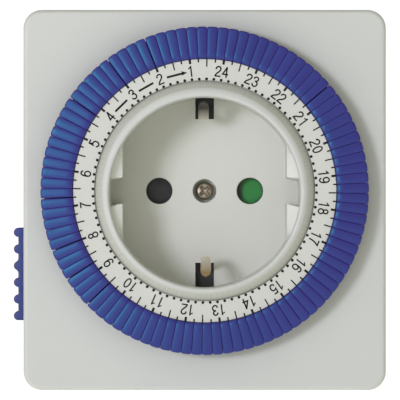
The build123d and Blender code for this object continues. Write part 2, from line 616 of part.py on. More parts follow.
# ---- gear train and motor ----
with BuildPart() as mechanism_plate:
    block((-30.5, 34.4), (-38.2, 34.4), (PLATE_BACK, PLATE_FRONT))
    ring(29.0, 27.8, PLATE_FRONT, PLATE_FRONT + 0.5)
    round_bar(3.6, 45, 48, screw_spots, mode=Mode.SUBTRACT)
    round_bar(CUP_R + 0.1, 45, 48, mode=Mode.SUBTRACT)
    # the way in for the pinion, and the gap it needs in the raised ring
    block((gear_spot[0] - 2.7, 35), (gear_spot[1] - 2.7, gear_spot[1] + 2.7), (45, 48), mode=Mode.SUBTRACT)
    block((20.5, 27.5), (-27.5, -20.5), (PLATE_FRONT, 48), mode=Mode.SUBTRACT)
mechanism_plate.part.label = "mechanism_plate"
export_step(mechanism_plate.part, "parts/mechanism_plate.step")

with BuildPart() as compound_gear:
    gear(PINION_TEETH, RING_MODULE, 47.6, 51.0, AXLE_BORE_R, gear_spot, phase=0.0, top=0.9)
    gear(WHEEL_TEETH, TRAIN_MODULE, 43.8, 45.6, AXLE_BORE_R, gear_spot, phase=5.0)
    ring(2.4, AXLE_BORE_R, 45.6, 47.6, [gear_spot])
compound_gear.part.label = "compound_gear"
export_step(compound_gear.part, "parts/compound_gear.step")

with BuildPart() as gear_axle:
    round_bar(AXLE_R, AXLE_BACK, 51.2, [gear_spot])
gear_axle.part.label = "gear_axle"
export_step(gear_axle.part, "parts/gear_axle.step")

with BuildPart() as motor_can:
    ring(MOTOR_R, MOTOR_R - 0.6, MOTOR_BACK, MOTOR_FRONT - 1, [motor_spot])
    round_bar(MOTOR_R, MOTOR_BACK, MOTOR_BACK + 0.8, [motor_spot])
motor_can.part.label = "motor_can"
export_step(motor_can.part, "parts/motor_can.step")

with BuildPart() as motor_coil:
    ring(MOTOR_R - 0.8, 5.0, MOTOR_BACK + 1.2, MOTOR_FRONT - 1.8, [motor_spot])
motor_coil.part.label = "motor_coil"
export_step(motor_coil.part, "parts/motor_coil.step")

with BuildPart() as motor_plate:
    ring(MOTOR_R, AXLE_BORE_R, MOTOR_FRONT - 1, MOTOR_FRONT, [motor_spot])
motor_plate.part.label = "motor_plate"
export_step(motor_plate.part, "parts/motor_plate.step")

with BuildPart() as motor_rotor:
    round_bar(4.4, 30.5, 39.5, [motor_spot])
    round_bar(AXLE_R, 29.4, 46.0, [motor_spot])
    gear(PINION_TEETH, TRAIN_MODULE, 43.4, 45.8, 0.5, motor_spot, phase=0.0, top=0.9)
motor_rotor.part.label = "motor_rotor"
export_step(motor_rotor.part, "parts/motor_rotor.step")
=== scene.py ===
import random
from math import asin, atan2, copysign, cos, degrees, hypot, pi, radians, sin, sqrt

import bmesh
import bpy
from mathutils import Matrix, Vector
from mathutils.geometry import tessellate_polygon


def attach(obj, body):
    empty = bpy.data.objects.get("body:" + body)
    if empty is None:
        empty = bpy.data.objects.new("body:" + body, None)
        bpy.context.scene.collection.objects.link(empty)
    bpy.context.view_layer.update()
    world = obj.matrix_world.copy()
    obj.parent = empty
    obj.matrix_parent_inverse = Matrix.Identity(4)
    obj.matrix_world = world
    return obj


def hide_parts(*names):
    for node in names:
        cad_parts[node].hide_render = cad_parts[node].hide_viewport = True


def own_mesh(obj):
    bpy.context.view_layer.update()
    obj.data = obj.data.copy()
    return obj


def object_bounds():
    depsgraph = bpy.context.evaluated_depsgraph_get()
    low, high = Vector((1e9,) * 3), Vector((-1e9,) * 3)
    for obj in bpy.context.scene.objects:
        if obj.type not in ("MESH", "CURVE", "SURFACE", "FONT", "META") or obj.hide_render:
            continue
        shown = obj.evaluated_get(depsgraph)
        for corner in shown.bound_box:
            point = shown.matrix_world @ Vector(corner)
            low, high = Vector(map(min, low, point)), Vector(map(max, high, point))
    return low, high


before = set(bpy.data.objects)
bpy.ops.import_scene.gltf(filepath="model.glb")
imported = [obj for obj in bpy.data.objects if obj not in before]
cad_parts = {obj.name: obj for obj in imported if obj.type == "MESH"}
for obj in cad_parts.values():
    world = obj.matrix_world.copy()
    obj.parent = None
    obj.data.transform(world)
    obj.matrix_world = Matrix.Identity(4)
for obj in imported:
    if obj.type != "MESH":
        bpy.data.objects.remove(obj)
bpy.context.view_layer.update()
random.seed(7)

# A plug-in 24-hour timer. Lengths are millimetres and turned into metres as each mesh is made. A point is
# (x, height, z), the height being in front of the plug's face; outlines seen from the front are (x, z).
MM = 0.001

# ---- sizes ----
# the housing, the opening that the dial stands in, and the slot in the left side for the override slider
HALF_WIDTH, TOP_Z, BOTTOM_Z, CORNER_R, EDGE_R = 37.5, 37.45, -41.25, 3.8, 0.9
FRONT, SEAM, WALL, OPENING_R = 55.5, 32.0, 2.0, 33.2
SIDE_SLOT_LOW, SIDE_SLOT_TOP, SIDE_SLOT_BACK, SIDE_SLOT_FRONT = -21.6, -8.2, 42.0, 45.0
# the socket: its collar, its recess with two notched flats, and the cup's outside
COLLAR_R, COLLAR_LOW = 22.57, 59.6
RECESS_R, RECESS_DROP, FLAT_X, NOTCH_Z = 19.6, 0.35, 16.9, 2.65
GUIDE_TOP, GUIDE_EDGE, GROOVE_TOP, FLOOR, CUP_BACK, CUP_R = 59.2, 0.15, 54.0, 44.5, 42.5, 21.2
# the slots for the earth clips, the pin holes and the screw in the socket's floor
CLIP_SLOT_X, CLIP_SLOT_NEAR, CLIP_SLOT_FAR = 1.95, 15.05, 20.5
PIN_X, PIN_HOLE_R, SCREW_HOLE_R, SCREW_SEAT, SCREW_TURN = 9.5, 2.75, 2.45, 41.0, 40
CLIP_WIDTH, CLIP_THICKNESS, CLIP_BACK = 2.15, 0.5, 39.1
# the lever's spring
SPRING_X, SPRING_Z, SPRING_R, SPRING_WIRE, SPRING_TURNS = -32.5, -10, 1.3, 0.2, 6
SPRING_BACK, SPRING_FRONT = 30.2, 42.65
# the dial, and the ink on it
DIAL_FACE, DIAL_INNER_R, DIAL_OUTER_R, DIAL_BORE_R = 60.2, 22.7, 27.1, 21.28
INK_LOW, INK_HIGH = DIAL_FACE - 0.01, DIAL_FACE + 0.02
HALF_HOUR_MARK, NUMBER_TURN = 0.94, 8.2  # degrees clockwise of the top, of a mark and of the 24, at rest
LINE_R, LINE_WIDTH, DOT_R, DOT_CIRCLE_R = 24.55, 0.44, 0.3, 22.99
STROKE, FIGURE_PITCH, FIGURE_R = 0.3, 1.5, 24.7
# the tabs: each has a head, a ledge under the head's tip, and a foot
TABS, TAB_STEP, TAB_CLEARANCE = 96, 3.75, 0.008
TAB_INNER_R, TAB_OUTER_R, TAB_TOP, TAB_BACK = 27.18, 33.8, 61.0, 57.4
LEDGE_R, LEDGE_BACK = 32.8, 57.9
FOOT_INNER_R, FOOT_OUTER_R, FOOT_BACK, FOOT_WIDTH = 30.7, 32.3, 53.5, 1.3
WIDE_GAPS, WIDE_GAP = (6, 10, 15, 25, 30, 33, 36, 83), 0.16  # gaps are counted from the top, leftwards
# the override slider, whose fourth rib stands on a wider foot
SLIDER_X, SLIDER_INNER_X, SLIDER_LOW, SLIDER_LONG = -38.9, -37.55, -27.0, 19.3
SLIDER_BACK, SLIDER_FRONT, RIB_R, RIBS = 39.0, 48.0, 0.95, 6
RIB_FLARE, WIDE_FLARE, WIDE_RIB = 0.12, 0.45, 3


# ---- outlines ----
def circle(radius, count=64, middle=(0, 0)):
    """A circle, counter-clockwise."""
    turns = [2 * pi * n / count for n in range(count)]
    return [(middle[0] + radius * cos(a), middle[1] + radius * sin(a)) for a in turns]


def rounded(corners, steps=5):
    """An outline with rounded corners, from (x, z, radius). A corner of no radius stays sharp."""
    outline = []
    for n, (x, z, radius) in enumerate(corners):
        here = Vector((x, z))
        if not radius:
            outline.append((x, z))
            continue
        back = (Vector(corners[n - 1][:2]) - here).normalized()
        ahead = (Vector(corners[(n + 1) % len(corners)][:2]) - here).normalized()
        half = back.angle(ahead) / 2
        middle = here + (back + ahead).normalized() * radius / sin(half)
        reach = radius * cos(half) / sin(half)
        first, last = here + back * reach - middle, here + ahead * reach - middle
        for step in range(steps + 1):
            outline.append(tuple(middle + first.slerp(last, step / steps) * radius))
    return outline


def dense(outline, longest=1.5):
    """The same outline with its long sides cut into short ones."""
    cut = []
    for n, here in enumerate(outline):
        ahead = outline[(n + 1) % len(outline)]
        pieces = max(1, round(hypot(ahead[0] - here[0], ahead[1] - here[1]) / longest))
        for step in range(pieces):
            share = step / pieces
            cut.append((here[0] + (ahead[0] - here[0]) * share, here[1] + (ahead[1] - here[1]) * share))
    return cut


def inset(outline, distance):
    """A counter-clockwise outline moved inwards."""
    moved = []
    for n, here in enumerate(outline):
        back, middle, ahead = Vector(outline[n - 1]), Vector(here), Vector(outline[(n + 1) % len(outline)])
        first, second = (middle - back).normalized(), (ahead - middle).normalized()
        side = Vector((-first.y - second.y, first.x + second.x)).normalized()
        lean = max(0.35, side.dot(Vector((-first.y, first.x))))
        moved.append(tuple(middle + side * distance / lean))
    return moved


def box_outline(x_low, x_high, z_low, z_high, radius=0.0):
    """A rectangle with rounded corners, counter-clockwise."""
    corners = [(x_high, z_low), (x_high, z_high), (x_low, z_high), (x_low, z_low)]
    return rounded([(x, z, radius) for x, z in corners])


def turned_by(outline, angle, spot=(0, 0)):
    """An outline turned about the origin by an angle in degrees, then moved."""
    c, s = cos(radians(angle)), sin(radians(angle))
    return [(spot[0] + x * c - z * s, spot[1] + x * s + z * c) for x, z in outline]


def round_step(radius, steps=4):
    """(inset, drop) pairs over a rounded edge, from its side up to its top."""
    turns = [radians(90 * n / steps) for n in range(steps + 1)]
    return [(radius * (1 - cos(a)), radius * (1 - sin(a))) for a in turns]


# ---- meshes ----
class Shape:
    """A mesh made from loops of points."""

    def __init__(self):
        self.mesh = bmesh.new()
        self.paint = 0

    def loop(self, points):
        """Vertices at these (x, height, z) points."""
        return [self.mesh.verts.new((x * MM, -h * MM, z * MM)) for x, h, z in points]

    def level(self, outline, height):
        """Vertices along an outline, all at one height."""
        return self.loop([(x, height, z) for x, z in outline])

    def face(self, corners):
        self.mesh.faces.new(corners).material_index = self.paint

    def bridge(self, first, second, closed=True, skip=()):
        """Joins two loops of as many points, but for the gaps to skip."""
        count = len(first)
        for n in range(count if closed else count - 1):
            m = (n + 1) % count
            if n not in skip:
                self.face((first[n], first[m], second[m], second[n]))

    def chain(self, loops):
        for first, second in zip(loops, loops[1:]):
            self.bridge(first, second)

    def cap(self, *loops):
        """Fills the first loop with flat faces, round the other loops."""
        corners = [corner for loop in loops for corner in loop]
        for triangle in tessellate_polygon([[corner.co for corner in loop] for loop in loops]):
            self.face([corners[n] for n in triangle])

    def slab(self, outlines, low, high, round_low=0.0, round_high=0.0):
        """A flat piece: the first outline is its edge and the others are holes through it."""
        ends = []
        for index, outline in enumerate(outlines):
            way = -1 if index else 1
            steps = [(i, low + d) for i, d in reversed(round_step(round_low))] if round_low else [(0, low)]
            steps += [(i, high - d) for i, d in round_step(round_high)] if round_high else [(0, high)]
            loops = [self.level(inset(outline, way * i) if i else outline, h) for i, h in steps]
            self.chain(loops)
            ends.append((loops[0], loops[-1]))
        self.cap(*[first for first, _ in ends])
        self.cap(*[last for _, last in ends])

    def lathe(self, outline, count, closed=False):
        """Turns an outline of (radius, height) points. A radius of nothing closes the end."""
        rings = []
        for radius, height in outline:
            if radius < 1e-6:
                rings.append(self.loop([(0, height, 0)]))
            else:
                rings.append(self.level(circle(radius, count), height))
        for first, second in zip(rings, rings[1:] + rings[:1] if closed else rings[1:]):
            if len(first) == len(second):
                self.bridge(first, second)
                continue
            tip, ring = (first[0], second) if len(first) == 1 else (second[0], first)
            for n in range(count):
                self.face((tip, ring[n], ring[(n + 1) % count]))

    def piece(self, name, body, materials, replaces=(), sharp=38):
        """Finishes the mesh as an object that rides on a body."""
        bmesh.ops.remove_doubles(self.mesh, verts=self.mesh.verts, dist=2e-6)
        bmesh.ops.dissolve_degenerate(self.mesh, edges=self.mesh.edges, dist=2e-6)
        bmesh.ops.recalc_face_normals(self.mesh, faces=self.mesh.faces)
        data = bpy.data.meshes.new(name)
        self.mesh.to_mesh(data)
        self.mesh.free()
        data.shade_smooth()
        data.set_sharp_from_angle(angle=radians(sharp))
        for material in materials:
            data.materials.append(material)
        made = bpy.data.objects.new(name, data)
        bpy.context.scene.collection.objects.link(made)
        weighted = made.modifiers.new("weighted", "WEIGHTED_NORMAL")
        weighted.keep_sharp = True
        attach(made, body)
        if replaces:
            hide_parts(*replaces)
        return made


# ---- finishes ----
def linear(colour):
    """The linear values of a colour given as it is seen, in 0 to 255."""
    return tuple(((c / 255 + 0.055) / 1.055) ** 2.4 if c > 10 else c / 255 / 12.92 for c in colour) + (1.0,)


class Finish:
    """A procedural finish, whose colour, roughness and relief vary over the surface."""

    def __init__(self, name):
        self.material = bpy.data.materials.new(name)
        self.material.use_nodes = True
        self.nodes, self.links = self.material.node_tree.nodes, self.material.node_tree.links
        self.shader = self.nodes["Principled BSDF"]
        self.place = self.node("ShaderNodeTexCoord").outputs["Object"]

    def feed(self, socket, value):
        if isinstance(value, bpy.types.NodeSocket):
            self.links.new(value, socket)
        else:
            socket.default_value = value

    def node(self, kind, *inputs, **settings):
        made = self.nodes.new(kind)
        for key, value in settings.items():
            setattr(made, key, value)
        for key, value in inputs:
            self.feed(made.inputs[key], value)
        return made

    def noise(self, size, detail, stretch=(1, 1, 1)):
        """Noise with features about this many millimetres across."""
        place = self.node("ShaderNodeMapping", ("Vector", self.place), ("Scale", stretch))
        return self.node("ShaderNodeTexNoise", ("Vector", place.outputs[0]), ("Scale", 1 / (size * MM)),
                         ("Detail", detail)).outputs["Fac"]

    def spread(self, value, low, high, start=0.3, end=0.7):
        """From low to high as the value goes from start to end."""
        return self.node("ShaderNodeMapRange", ("Value", value), ("From Min", start), ("From Max", end),
                         ("To Min", low), ("To Max", high)).outputs[0]

    def math(self, operation, first, second=0.0):
        return self.node("ShaderNodeMath", (0, first), (1, second), operation=operation).outputs[0]

    def mix(self, share, first, second):
        return self.node("ShaderNodeMix", (0, share), (6, first), (7, second), data_type="RGBA").outputs[2]

    def shade(self, colour, amount, share):
        """The colour, made darker by up to this amount."""
        dark = tuple(c * (1 - amount) for c in colour[:3]) + (1.0,)
        return self.mix(share, dark, colour)

    def relief(self, height, depth, under=None):
        """A bump this many millimetres deep."""
        made = self.node("ShaderNodeBump", ("Height", height), ("Distance", depth * MM), ("Strength", 1.0))
        if under:
            self.feed(made.inputs["Normal"], under)
        return made.outputs[0]

    def done(self, colour, roughness, normal=None, **constants):
        self.feed(self.shader.inputs["Base Color"], colour)
        self.feed(self.shader.inputs["Roughness"], roughness)
        if normal:
            self.feed(self.shader.inputs["Normal"], normal)
        for key, value in constants.items():
            self.shader.inputs[key.replace("_", " ")].default_value = value
        return self.material


def plastic(name, colour, roughness, mottle, grain=0.004, grain_size=0.35, specular=0.5, tint=None):
    """A moulded plastic, with patches up to mottle darker and a grain this many millimetres deep."""
    made = Finish(name)
    paint = made.shade(linear(colour), mottle, made.spread(made.noise(14, 5), 0, 1))
    rough = made.spread(made.noise(5, 4), roughness * 0.85, roughness * 1.15)
    skin = made.relief(made.noise(grain_size, 2), grain)
    sink = made.relief(made.noise(9, 1), grain * 3, skin)
    extra = {"Specular_Tint": linear(tint)} if tint else {}
    return made.done(paint, rough, sink, Specular_IOR_Level=specular, **extra)


def clip_finish(name, bare, tan, dark):
    """Nickel, tan at the bottom and with a painted dark reflection at the top, but bare on the bends nearest
    the axis.
    """
    made = Finish(name)
    place = made.node("ShaderNodeSeparateXYZ", ("Vector", made.place)).outputs["Z"]
    cloud = made.spread(made.noise(3.5, 2), 0, 1)
    # upper is the share of the painted dark reflection, which covers the top clip
    upper = made.spread(place, 0, 1, -5 * MM, 5 * MM)
    tan_and_painted_reflection = made.mix(upper, made.shade(linear(tan), 0.15, cloud), made.shade(linear(dark), 0.15, cloud))
    share = made.spread(made.math("ABSOLUTE", place), 0, 1, 14.3 * MM, 17.0 * MM)
    paint = made.mix(share, linear(bare), tan_and_painted_reflection)
    rough = made.spread(made.noise(2.5, 2, (4, 1, 1)), 0.26, 0.36)
    return made.done(paint, rough, made.relief(made.noise(3, 1), 0.008), Metallic=0.75)


def metal(name, colour, roughness, stretch=(1, 1, 1), stain=0.25):
    """A bare metal, with stains and fine scratches that run across the stretch."""
    made = Finish(name)
    paint = made.shade(linear(colour), stain, made.spread(made.noise(3.5, 6), 0, 1))
    rough = made.spread(made.noise(0.8, 5, stretch), roughness * 0.7, roughness * 1.3)
    skin = made.relief(made.noise(0.3, 3, stretch), 0.002)
    return made.done(paint, rough, skin, Metallic=1.0)


def collar_finish(name, colour):
    """Plastic with fine ribs that point away from the dial's axis, each rib's groove darkened by painted
    shade.
    """
    made = Finish(name)
    apart = made.node("ShaderNodeSeparateXYZ", ("Vector", made.place))
    turn = made.math("ARCTAN2", apart.outputs["Z"], apart.outputs["X"])
    ribs_and_painted_shade = made.node("ShaderNodeTexNoise", ("W", made.math("MULTIPLY", turn, 60.0)), ("Scale", 1.0),
                       ("Detail", 2.0), noise_dimensions="1D").outputs["Fac"]
    # the ribs' grooves get painted shade, up to 14 % darker
    paint = made.shade(linear(colour), 0.14, made.spread(ribs_and_painted_shade, 0, 1))
    paint = made.mix(made.spread(made.noise(6, 4), 0, 0.3), paint, linear([c * 0.95 for c in colour]))
    rough = made.spread(made.noise(2, 4), 0.45, 0.6)
    return made.done(paint, rough, made.relief(ribs_and_painted_shade, 0.03))


def two_colour(name, colour, dark):
    """Green on the right, with a near-black painted shadow on the left that darkens the left edge of the
    right pin hole and all of the left hole.
    """
    made = Finish(name)
    apart = made.node("ShaderNodeSeparateXYZ", ("Vector", made.place))
    # the dark share is painted shadow, which begins a little inside the right pin hole's left edge
    side = made.spread(apart.outputs["X"], 0, 1, 7.3 * MM, 8.3 * MM)
    cloud = made.spread(made.noise(2.5, 4), 0, 1)
    paint = made.mix(side, made.shade(linear(dark), 0.3, cloud), made.shade(linear(colour), 0.2, cloud))
    skin = made.relief(made.noise(0.4, 3), 0.006)
    return made.done(paint, made.spread(made.noise(1.5, 4), 0.3, 0.45), skin)


HOUSING = plastic("housing_satin", (179, 181, 172), 0.5, 0.03, 0.004)
SOCKET = plastic("socket_satin", (193, 194, 182), 0.55, 0.03, 0.002, specular=0.4)
COLLAR = collar_finish("collar_ribs_painted_shade", (174, 175, 161))
DIAL = plastic("dial_satin", (184, 185, 174), 0.4, 0.04, 0.002)
INK = plastic("dial_ink", (12, 12, 12), 0.6, 0.3, 0.003, specular=0.2)
BLUE = plastic("segment_blue", (56, 31, 111), 0.41, 0.1, 0.009, grain_size=0.9, specular=0.52,
               tint=(26, 242, 235))
SLIDER_BLUE = plastic("slider_blue", (38, 52, 112), 0.42, 0.12, 0.003, specular=0.35)
# the shutter's near-black part is painted shadow
SHUTTER = two_colour("shutter_green", (4, 122, 38), (26, 28, 24))
NICKEL = metal("nickel_plate", (205, 190, 160), 0.26, (4, 1, 1), 0.3)
CLIP = clip_finish("nickel_clip_painted_reflection", (240, 234, 218), (184, 158, 114), (92, 88, 84))
SCREW = metal("screw_steel", (158, 148, 128), 0.5, stain=0.3)
STEEL = metal("steel", (176, 176, 172), 0.32, (1, 1, 5))
FINISHES = {
    "housing_plastic": HOUSING,
    "socket_plastic": SOCKET,
    "dial_plastic": DIAL,
    "carrier_plastic": plastic("carrier_dark", (30, 32, 60), 0.5, 0.2),
    "segment_blue": BLUE,
    "slider_blue": SLIDER_BLUE,
    "shutter_green": SHUTTER,
    "gear_plastic": plastic("gear_natural", (212, 206, 186), 0.42, 0.1),
    "black_plastic": plastic("black_moulding", (28, 28, 28), 0.45, 0.2),
    "screw_steel": SCREW,
    "spring_steel": metal("spring_steel", (160, 160, 158), 0.28),
    "nickel_plate": NICKEL,
    "pin_metal": metal("pin_nickel", (206, 202, 192), 0.22, (1, 6, 1), 0.18),
    "brass": metal("contact_brass", (196, 158, 84), 0.3),
    "motor_steel": STEEL,
    "copper_wire": metal("copper_wire", (186, 104, 62), 0.35, (1, 8, 1)),
    "magnet": plastic("magnet_black", (38, 36, 34), 0.5, 0.3),
}
SLOTS = {
    "housing_plastic": ["front_housing", "rear_housing", "plug_body"],
    "socket_plastic": ["socket_cup"],
    "dial_plastic": ["dial_disc"],
    "carrier_plastic": ["segment_carrier"],
    "slider_blue": ["override_slider"],
    "shutter_green": ["shutter"],
    "gear_plastic": ["compound_gear"],
    "black_plastic": ["switch_base", "switch_lever", "mechanism_plate"],
    "screw_steel": ["centre_screw", "housing_screws", "lever_pin", "leaf_pin", "gear_axle"],
    "spring_steel": ["shutter_spring"],
    "nickel_plate": ["front_earth_clip", "rear_earth_strap", "earth_link"],
    "pin_metal": ["live_pin", "neutral_pin"],
    "brass": ["neutral_contact", "live_contact", "live_feed", "moving_leaf"],
    "motor_steel": ["motor_can", "motor_plate"],
    "copper_wire": ["motor_coil"],
    "magnet": ["motor_rotor"],
}
# every CAD node gets its finish: those that aren't in the list are the tabs of an hour
slot_of = {node: slot for slot, nodes in SLOTS.items() for node in nodes}
for node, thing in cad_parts.items():
    slot = slot_of.get(node, "segment_blue")
    thing.data.materials.clear()
    thing.data.materials.append(FINISHES[slot])


# ---- casing ----
def housing_outline():
    """The housing's outline, with a corner at each end of the slider's slot."""
    corners = [(HALF_WIDTH, BOTTOM_Z, CORNER_R), (HALF_WIDTH, TOP_Z, CORNER_R),
               (-HALF_WIDTH, TOP_Z, CORNER_R), (-HALF_WIDTH, SIDE_SLOT_TOP, 0),
               (-HALF_WIDTH, SIDE_SLOT_LOW, 0), (-HALF_WIDTH, BOTTOM_Z, CORNER_R)]
    return dense(rounded(corners, 10))


def front_shell():
    """The housing's front shell: a wall all round, a face with the dial's opening, and the slider's slot."""
    shape = Shape()
    outline = housing_outline()
    turns = [atan2(z, x) for x, z in outline]
    top, low = (min(range(len(outline)), key=lambda n: hypot(outline[n][0] + HALF_WIDTH, outline[n][1] - z))
                for z in (SIDE_SLOT_TOP, SIDE_SLOT_LOW))
    slot = range(top, low)

    def wall(distance, height):
        return shape.level(inset(outline, distance) if distance else outline, height)

    def bore(radius, height):
        return shape.level([(radius * cos(a), radius * sin(a)) for a in turns], height)

    outside = [wall(0.2, SEAM), wall(0, SEAM + 0.2), wall(0, SIDE_SLOT_BACK), wall(0, SIDE_SLOT_FRONT)]
    outside += [wall(i, FRONT - d) for i, d in round_step(EDGE_R, steps=6)]
    outside += [bore(OPENING_R + 0.3 - i, FRONT - d) for i, d in reversed(round_step(0.3))]
    inside = [bore(OPENING_R, FRONT - WALL)]
    inside += [wall(WALL, height) for height in (FRONT - WALL, SIDE_SLOT_FRONT, SIDE_SLOT_BACK, SEAM)]
    loops = outside + inside
    slot_bands = (2, len(outside) + 2)
    for n, (first, second) in enumerate(zip(loops, loops[1:] + loops[:1])):
        shape.bridge(first, second, skip=slot if n in slot_bands else ())
    # the slot's four walls
    for n in slot:
        for outer, inner in ((outside[2], inside[3]), (outside[3], inside[2])):
            shape.face((outer[n], outer[n + 1], inner[n + 1], inner[n]))
    for n in (top, low):
        shape.face((outside[2][n], outside[3][n], inside[2][n], inside[3][n]))
    shape.piece("front_shell", "case", [HOUSING], ["front_housing"])


front_shell()


# ---- socket ----
def recess_outline():
    """The recess above its floor: round, with a notched flat at each side and a groove at top and bottom."""
    def arc(start, end, count):
        turns = [radians(start + (end - start) * n / count) for n in range(count + 1)]
        return [(RECESS_R * cos(a), RECESS_R * sin(a), 0) for a in turns]

    notch = degrees(asin(NOTCH_Z / RECESS_R))
    flat = degrees(atan2(sqrt(RECESS_R**2 - FLAT_X**2), FLAT_X))
    groove = 90 - degrees(asin(CLIP_SLOT_X / RECESS_R))
    quarter = arc(0, notch, 3) + [(FLAT_X, NOTCH_Z, 0.35)]
    quarter += [(FLAT_X, z, 0) for z in (3.4, 4.4, 5.6, 6.8, 8.0, 9.0)] + arc(flat, groove, 20)
    quarter += [(CLIP_SLOT_X, CLIP_SLOT_FAR, 0.15), (1.0, CLIP_SLOT_FAR, 0), (0, CLIP_SLOT_FAR, 0)]
    half = quarter + [(-x, z, r) for x, z, r in reversed(quarter[:-1])]
    return rounded(half + [(x, -z, r) for x, z, r in reversed(half[1:-1])], 4)


def on_circle(outline, radius):
    """The outline's points, each moved out or in to a circle."""
    return [(x * radius / hypot(x, z), z * radius / hypot(x, z)) for x, z in outline]


def within(outline, radius):
    """The outline's points, with those outside a circle moved in to it."""
    return [(x, z) if hypot(x, z) <= radius else (x * radius / hypot(x, z), z * radius / hypot(x, z))
            for x, z in outline]


def lowered(outline):
    """The recess's outline with its round wall a little below the middle of the dial."""
    return [(x, z - RECESS_DROP) if hypot(x, z) > RECESS_R - 0.1 else (x, z) for x, z in outline]


def socket():
    """The socket's cup: a ribbed collar, a smooth rim, the recess and its floor with the holes in it."""
    shape = Shape()
    grooved = recess_outline()

    def ending(past, reach):
        """The recess's outline with the two grooves' ends, which lie past this z, moved to another reach."""
        return [(x, copysign(reach(x), z)) if abs(x) <= CLIP_SLOT_X + 0.01 and abs(z) >= past else (x, z)
                for x, z in grooved]

    guides = ending(RECESS_R - 0.5, lambda x: sqrt(RECESS_R**2 - x * x))
    edge = ending(RECESS_R, lambda x: CLIP_SLOT_NEAR)
    ribbed = [(COLLAR_R - 0.12, COLLAR_LOW), (COLLAR_R, COLLAR_LOW + 0.12), (22.42, 59.95), (22.26, 60.3)]
    ribbed += [(22.0, 60.66), (21.7, 61.0), (21.35, 61.34), (21.1, 61.55)]
    rim = [(20.95, 61.67), (20.8, 61.77), (20.65, 61.85), (20.45, 61.93), (20.2, 61.98), (19.98, 61.94)]
    rim += [(19.82, 61.83), (19.69, 61.66), (RECESS_R, 61.4), (RECESS_R, 60.0)]
    shape.paint = 1
    upper = [shape.level(on_circle(grooved, r), h) for r, h in ribbed]
    shape.chain(upper)
    # the rim takes the housing's darker finish: painted shade that dims it
    shape.paint = 2
    # the rim leans over as it comes in, because the recess stands a little lower than the dial's middle
    wall = [upper[-1]]
    for r, h in rim:
        drop = RECESS_DROP * max(0.0, min(1.0, (rim[0][0] - 0.05 - r) / 0.9))
        wall.append(shape.level([(x, z - drop) for x, z in on_circle(grooved, r)], h))
    shape.chain(wall)
    shape.paint = 0
    wall = wall[-1:]
    wall += [shape.level(lowered(within(inset(guides, -i), RECESS_R)), GUIDE_TOP - d)
             for i, d in reversed(round_step(GUIDE_EDGE, steps=3))]
    wall += [shape.level(lowered(guides), GROOVE_TOP), shape.level(lowered(grooved), GROOVE_TOP)]
    wall.append(shape.level(lowered(grooved), CUP_BACK))
    wall += [shape.level(on_circle(grooved, CUP_R), h) for h in (CUP_BACK, COLLAR_LOW)]
    shape.chain(wall)
    shape.bridge(wall[-1], upper[0])
    # the floor, with its pin holes and screw hole
    holes = [circle(PIN_HOLE_R, 56, (side * PIN_X, 0)) for side in (-1, 1)] + [circle(SCREW_HOLE_R, 48)]
    rims = []
    for hole in holes:
        steps = [shape.level(inset(hole, -i), FLOOR - d) for i, d in reversed(round_step(0.22))]
        steps.append(shape.level(hole, CUP_BACK))
        shape.chain(steps)
        rims.append((steps[0], steps[-1]))
    outer = [shape.level(lowered(edge), FLOOR), shape.level(lowered(edge), CUP_BACK)]
    shape.bridge(*outer)
    shape.cap(outer[0], *[first for first, _ in rims])
    shape.cap(outer[1], *[last for _, last in rims])
    # the well that the middle screw sits in
    well = [(4.2, CUP_BACK), (4.2, SCREW_SEAT - 1.5), (1.5, SCREW_SEAT - 1.5), (1.5, SCREW_SEAT)]
    well += [(SCREW_HOLE_R, SCREW_SEAT), (SCREW_HOLE_R, CUP_BACK)]
    shape.lathe(well, 48, closed=True)
    shape.piece("socket_body", "case", [SOCKET, COLLAR, HOUSING], ["socket_cup"])


socket()


def cross_outline(reach, half):
    """A cross with arms along the two axes, counter-clockwise from the right arm."""
    arm = [(reach, -half, 0.08), (reach, half, 0.08), (half, half, 0.1)]
    return rounded([(x * c - z * s, x * s + z * c, r) for c, s in ((1, 0), (0, 1), (-1, 0), (0, -1))
                    for x, z, r in arm], 3)


def centre_screw():
    """The screw in the middle of the socket's floor, with a cross recess in its head."""
    shape = Shape()
    radius, tall = 1.85, 1.75

    def height(depth):
        return SCREW_SEAT + tall - depth

    sides = [(radius - 0.08, height(tall)), (radius, height(tall - 0.08)), (radius, height(0.62)),
             (radius - 0.05, height(0.4)), (radius - 0.22, height(0.2)), (radius - 0.5, height(0.06))]
    rings = [shape.level(circle(r, 56), h) for r, h in sides]
    shape.chain(rings)
    shape.cap(rings[0])
    cross = ((0.76, 0.22, 0.06), (0.7, 0.17, 0.16), (0.5, 0.13, 0.4), (0.2, 0.1, 0.7))
    arms = [shape.level(turned_by(cross_outline(reach * radius, half * radius), SCREW_TURN), height(depth))
            for reach, half, depth in cross]
    shape.cap(rings[-1], arms[0])
    shape.chain(arms)
    shape.cap(arms[-1])
    shape.lathe([(0, 28.0), (1.0, 28.0), (1.4, 29.0), (1.4, SCREW_SEAT + 0.1), (0, SCREW_SEAT + 0.1)], 32)
    shape.piece("centre_screw_head", "case", [SCREW], ["centre_screw"])


centre_screw()


